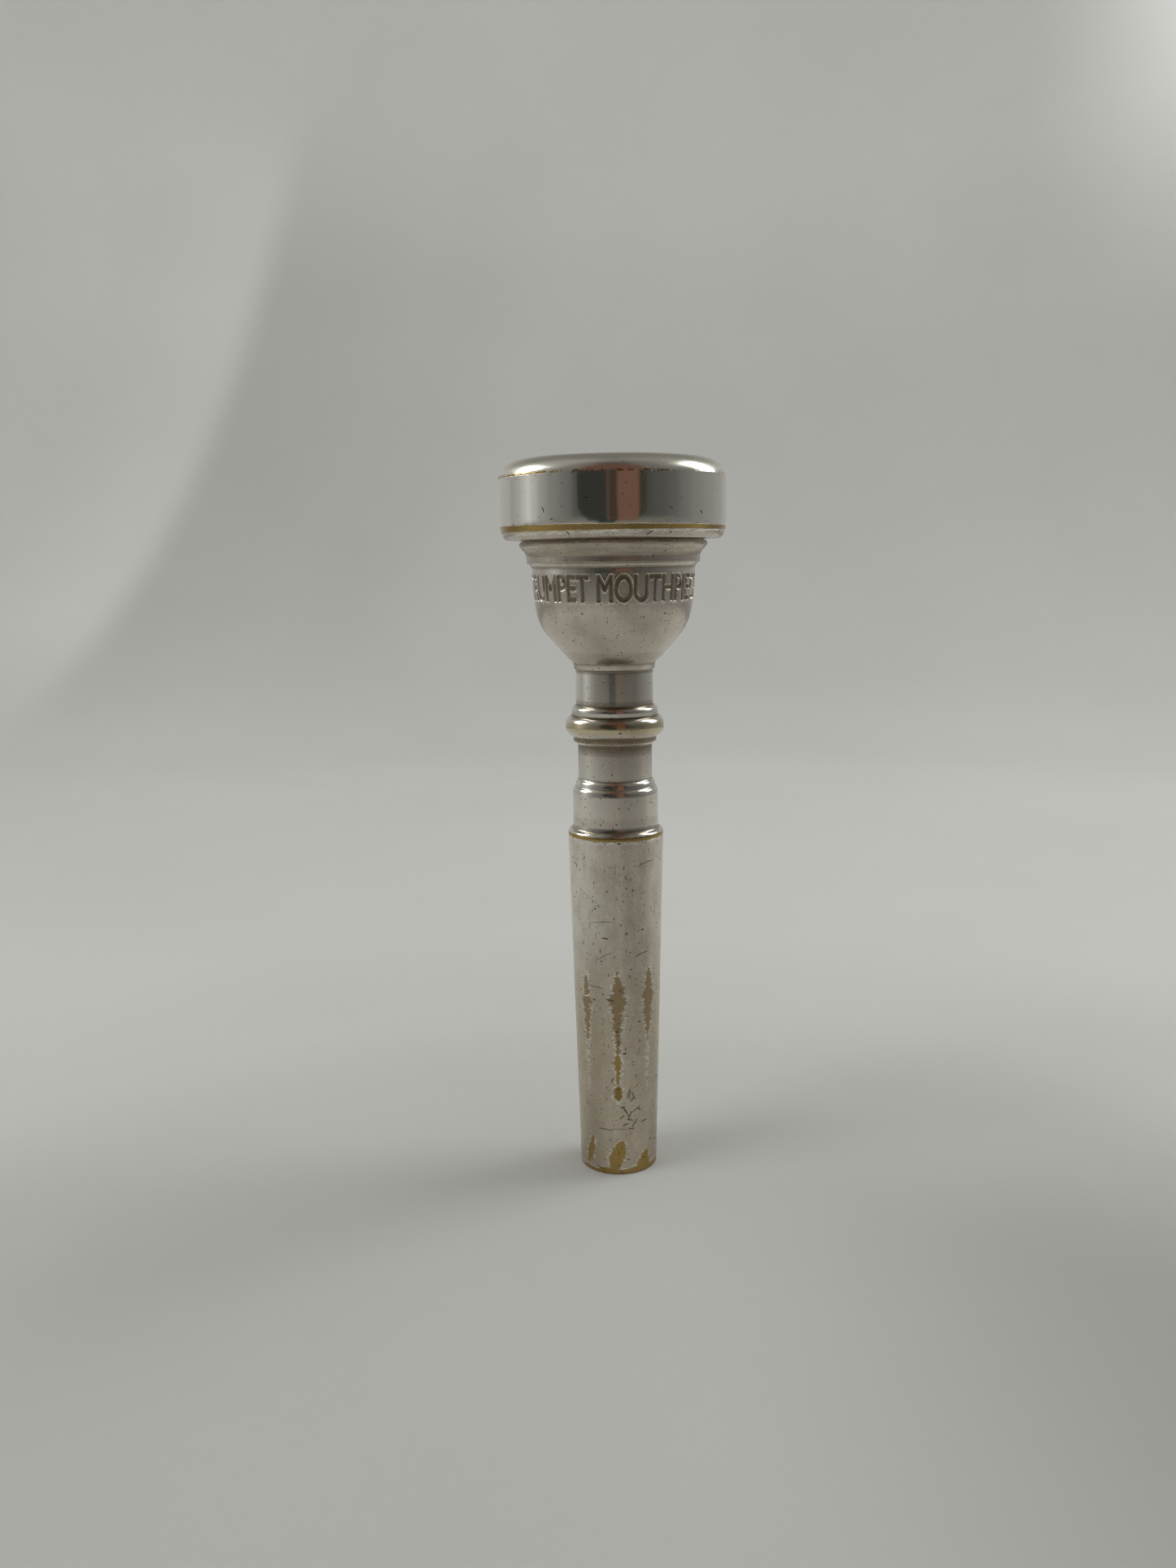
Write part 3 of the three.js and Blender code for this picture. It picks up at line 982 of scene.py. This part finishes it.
def lamp(name, place, aim, size, watts):
    """A soft rectangular lamp at a place, pointed at another, both in millimetres."""
    data = bpy.data.lights.new(name, "AREA")
    data.shape = "RECTANGLE"
    data.size, data.size_y = (side * MM for side in size)
    data.energy = watts
    thing = bpy.data.objects.new(name, data)
    thing.location = Vector(place) * MM
    thing.rotation_euler = (Vector(aim) - Vector(place)).to_track_quat("-Z", "Y").to_euler()
    bpy.context.scene.collection.objects.link(thing)
    return thing


CARD_DISTANCE = 160.0  # how far in front of the object the cards stand


def card(name, corners, shade):
    """A panel in front of the object that only reflections see, from its corners across and up."""
    graph = Graph(name)
    graph.tree.nodes.remove(graph.shader)
    glow = graph.node("ShaderNodeEmission", {"Color": colour(*shade)})
    graph.tree.links.new(glow.outputs[0], graph.tree.nodes["Material Output"].inputs[0])
    mesh = bpy.data.meshes.new(name)
    mesh.from_pydata([(x * MM, 0.0, z * MM) for x, z in corners], [], [list(range(len(corners)))])
    mesh.materials.append(graph.material)
    thing = bpy.data.objects.new(name, mesh)
    thing.location.y = -CARD_DISTANCE * MM
    thing.visible_camera = False
    thing.visible_diffuse = False
    thing.visible_shadow = False
    bpy.context.scene.collection.objects.link(thing)


# How bright the room is at each angle from the front, in degrees, as the object sees it.
ROOM = (
    (-180, 0.44), (-146, 0.42), (-128, 0.40), (-119, 0.33), (-108, 0.38), (-99, 0.49), (-92, 0.60),
    (-84, 0.46), (-74, 0.31), (-62, 0.22), (-45, 0.155), (-36, 0.09), (30, 0.06), (48, 0.085), (62, 0.11),
    (76, 0.16), (90, 0.21), (112, 0.26), (130, 0.31), (150, 0.39), (180, 0.44),
)
OVERHEAD = (
    (-180, 0.17), (-150, 0.20), (-125, 0.33), (-80, 0.33), (-50, 0.17), (0, 0.15), (50, 0.15), (90, 0.22),
    (130, 0.28), (155, 0.20), (180, 0.17),
)
BELOW = (
    (-180, 0.25), (-110, 0.27), (-70, 0.25), (-45, 0.16), (50, 0.13), (80, 0.20), (120, 0.25), (180, 0.25),
)


def cards():
    """What stands in front of the object: a dark phone, a hand round it and the gaps between them,
    a sleeve above, and a dark and two pale strips below."""
    phone = ((-114, 150), (-15, 150), (-15, 50), (-62, 50), (-92, 66), (-106, 96))
    card("phone", phone, (0.033, 0.035, 0.033))
    card("finger", ((-15, 155), (-9, 155), (-9, 50), (-15, 50)), (0.10, 0.07, 0.055))
    card("gap_left", ((-9, 155), (9, 155), (14, 50), (-9, 50)), (0.052, 0.037, 0.028))
    card("hand", ((9, 155), (77, 155), (72, 50), (14, 50)), (0.155, 0.085, 0.062))
    card("gap_right", ((77, 155), (106, 155), (97, 72), (73, 55)), (0.045, 0.040, 0.030))
    card("under", ((-44, 50), (8, 50), (8, 37), (-41, 37)), (0.015, 0.035, 0.033))
    card("flank_left", ((-320, 50), (-46, 50), (-43, 33), (-300, 33)), (0.185, 0.18, 0.16))
    card("flank_right", ((10, 50), (320, 50), (300, 33), (10, 33)), (0.16, 0.15, 0.128))
    top = ((-114, 150), (-15, 150), (-15, 155), (112, 155), (88, 410), (-80, 410))
    card("hand_top", top, (0.125, 0.066, 0.046))
    card("sleeve", ((-80, 410), (88, 410), (78, 560), (-70, 560)), (0.02, 0.016, 0.013))


def room():
    """The light from all round: by angle from the front, near the horizon, overhead and below."""
    world = bpy.data.worlds.new("room")
    world.use_nodes = True
    graph = Graph.of_tree(world.node_tree)
    direction = graph.node("ShaderNodeTexCoord", {}).outputs["Generated"]
    axes = graph.node("ShaderNodeSeparateXYZ", {0: direction}).outputs
    around = graph.times(graph.math("ARCTAN2", axes[0], graph.times(axes[1], -1.0)), 180 / math.pi)
    side = graph.levels(around, ROOM)
    up = graph.mix(graph.step(axes[2], 0.2, 0.6), side, graph.levels(around, OVERHEAD))
    level = graph.mix(graph.step(axes[2], -0.08, -0.17), up, graph.levels(around, BELOW))
    tint = graph.mix(graph.step(axes[2], 0.2, 0.6), colour(1.0, 0.995, 0.97), colour(1.0, 0.96, 0.87))
    sky = world.node_tree.nodes["Background"]
    graph.feed(sky.inputs["Color"], tint)
    graph.feed(sky.inputs["Strength"], level)
    bpy.context.scene.world = world


def light():
    """At each side a lamp for the metal's highlights and one for the paper and its shadows, then
    the room and the cards that the metal reflects."""
    for side, place, size in (("left", (-303, 67, 245), (145, 205)), ("right", (292, 112, 262), (155, 250))):
        lamp("shine_" + side, place, (0, 0, 40), size, 0.38).visible_diffuse = False
    for side, place, watts in (("left", (-285, -128, 430), 0.53), ("right", (288, 105, 430), 0.54)):
        lamp("soft_" + side, place, (0, 0, 0), (200, 200), watts).visible_glossy = False
    cards()
    room()


def camera():
    """A phone camera close in front, a little below the rim and looking slightly down."""
    distance, height = 156.78, 75.54
    pitch, yaw, roll = math.radians(9.664), math.radians(1.2243), math.radians(0.761)
    level = math.cos(pitch)
    ahead = Vector((-math.sin(yaw) * level, math.cos(yaw) * level, -math.sin(pitch)))
    right = ahead.cross(Vector((0, 0, 1))).normalized()
    up = right.cross(ahead)
    turned_right = right * math.cos(roll) - up * math.sin(roll)
    turned_up = right * math.sin(roll) + up * math.cos(roll)
    data = bpy.data.cameras.new("camera")
    data.sensor_width = 36.0
    data.lens = 29.79014
    data.clip_start = 0.005
    thing = bpy.data.objects.new("camera", data)
    thing.matrix_world = Matrix((turned_right, turned_up, -ahead)).transposed().to_4x4()
    thing.location = Vector((0, -distance, height)) * MM
    bpy.context.scene.collection.objects.link(thing)
    bpy.context.scene.camera = thing


build()
stage()
light()
camera()
bpy.context.scene.view_settings.view_transform = "Standard"
